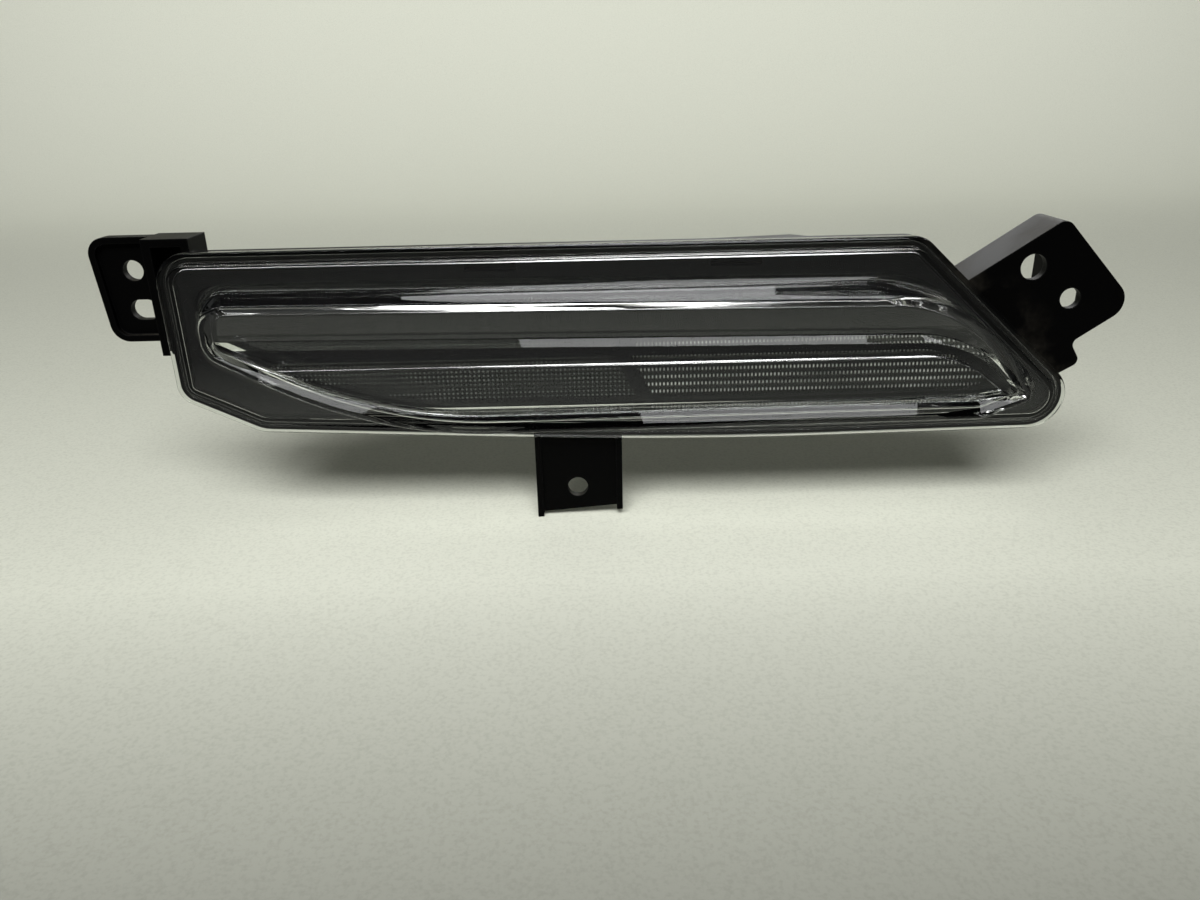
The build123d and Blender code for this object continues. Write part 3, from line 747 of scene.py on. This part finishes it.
def speckledLaminate():
    # off-white worktop with a fine grey speckle, graded to a dark grey of painted shade towards the
    # camera
    shape = stageShape
    material, tree, coords = startMaterial("speckledLaminate")
    share = remap(tree, noise(tree, coords, shape["speckleMm"], detail=3.0), shape["speckleRange"])
    colour = blend(tree, share, linear(shape["colour"]), linear(shape["speckle"]))
    # painted shade: darker towards the camera, along y
    paintedFloorShade = remap(tree, addNode(tree, "SeparateXYZ", {0: coords}).outputs["Y"], shape["paintedFloorShadeRange"])
    surface = {
        "Base Color": blend(tree, paintedFloorShade, colour, linear(shape["near"])),
        "Roughness": shape["roughness"],
    }
    endMaterial(tree, surface)
    return material


def paleSweep():
    # a flat floor that bends up behind in a quarter circle: a section carried along x
    shape = stageShape
    bend = np.linspace(0, math.pi / 2, shape["bendSteps"])
    y = np.concatenate([[shape["front"]], shape["bend"] + shape["bendRadius"] * np.sin(bend)])
    z = np.concatenate([[0.0], shape["bendRadius"] * (1 - np.cos(bend))])
    y = np.append(y, y[-1])
    z = np.append(z, shape["top"])
    x = np.array([-shape["halfWidth"], shape["halfWidth"]])
    points = np.stack([np.tile(x, len(y)), np.repeat(y, 2), np.repeat(z + cadLow.z, 2)], axis=1)
    i = 2 * np.arange(len(y) - 1)[:, None]
    faces = np.concatenate([i, i + 1, i + 3, i + 2], axis=1)
    mesh = bpy.data.meshes.new("paleSweep")
    mesh.from_pydata(points.tolist(), [], faces.tolist())
    mesh.shade_smooth()
    mesh.materials.append(speckledLaminate())
    sweep = bpy.data.objects.new("paleSweep", mesh)
    bpy.context.scene.collection.objects.link(sweep)


lamps = [
    {
        "name": "keyPanel",
        "place": (-0.1, -0.76, 0.88),
        "aim": (0.0, 0.0, 0.0),
        "size": (0.9, 0.45),
        "power": 18.0,
        "lights": "others",
    },
    {
        "name": "ceilingPanel",
        "place": (0.08, 0.02, 1.1),
        "aim": (0.0, 0.0, 0.06),
        "size": (2.6, 0.5),
        "power": 20.0,
        "lights": "lens",
    },
    {
        "name": "ceilingLine",
        "place": (0.0, -0.24, 1.15),
        "aim": (0.0, 0.0, 0.05),
        "size": (2.8, 0.12),
        "power": 5.0,
        "lights": "lens",
    },
    {
        "name": "backdropWash",
        "place": (0.0, 0.85, 0.55),
        "aim": (0.0, 1.22, 0.1),
        "size": (2.4, 0.15),
        "power": 4.2,
        "lights": "others",
    },
    {
        "name": "rearFill",
        "place": (0.25, 0.75, 0.5),
        "aim": (0.0, 0.02, 0.03),
        "size": (0.7, 0.4),
        "power": 5.0,
        "lights": "back",
    },
]
backNodes = ("housing", "connector_header", "terminal_pins", "breather_cap")
room = {"colour": "#e9ecec", "strength": 0.03}


def lightStage():
    # rectangular soft lamps that look at their aim, and a dim even surround. Light linking keeps the two
    # ceiling lamps to the lens, the rear fill to the back, and the other two off the lens
    named = {"lens": [clearLens], "others": [clearLens], "back": [nodes[name] for name in backNodes]}
    lit = {}
    for name, pieces in named.items():
        lit[name] = bpy.data.collections.new("lit" + name.title())
        for piece in pieces:
            lit[name].objects.link(piece)
    lit["others"].collection_objects[0].light_linking.link_state = "EXCLUDE"
    for lamp in lamps:
        data = bpy.data.lights.new(lamp["name"], "AREA")
        data.shape = "RECTANGLE"
        data.size, data.size_y = lamp["size"]
        data.energy = lamp["power"]
        light = bpy.data.objects.new(lamp["name"], data)
        light.location = lamp["place"]
        away = Vector(lamp["place"]) - Vector(lamp["aim"])
        light.rotation_euler = away.to_track_quat("Z", "Y").to_euler()
        bpy.context.scene.collection.objects.link(light)
        light.light_linking.receiver_collection = lit[lamp["lights"]]
    world = bpy.data.worlds.new("dimRoom")
    world.use_nodes = True
    surround = world.node_tree.nodes["Background"].inputs
    surround["Color"].default_value = linear(room["colour"])
    surround["Strength"].default_value = room["strength"]
    bpy.context.scene.world = world


cameraView = {
    "placeMm": (6.983, -251.527, 113.517),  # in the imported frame
    "pitch": 22.0,
    "roll": 1.35,
    "focal": 27.0,
    "sensor": 36.0,
    "nearest": 0.01,
}


def placeCamera():
    # looks along +y, tipped down by the pitch, then turned about its own axis by the roll
    view = cameraView
    pitch, roll = math.radians(view["pitch"]), math.radians(view["roll"])
    ahead = np.array([0.0, math.cos(pitch), -math.sin(pitch)])
    over = np.array([0.0, math.sin(pitch), math.cos(pitch)])
    paintedLightBand = np.array([1.0, 0.0, 0.0])
    right = math.cos(roll) * paintedLightBand - math.sin(roll) * over
    up = math.sin(roll) * paintedLightBand + math.cos(roll) * over
    data = bpy.data.cameras.new("photoView")
    data.lens, data.sensor_width = view["focal"], view["sensor"]
    data.clip_start = view["nearest"]
    camera = bpy.data.objects.new("photoView", data)
    turn = np.eye(4)
    turn[:3, 0], turn[:3, 1], turn[:3, 2] = right, up, -ahead
    turn[:3, 3] = np.array(view["placeMm"]) * mm
    camera.matrix_world = Matrix(turn.tolist())
    bpy.context.scene.collection.objects.link(camera)
    bpy.context.scene.camera = camera


paleSweep()
lightStage()
placeCamera()
bpy.context.scene.view_settings.view_transform = "Standard"
print("stage, light and camera set")
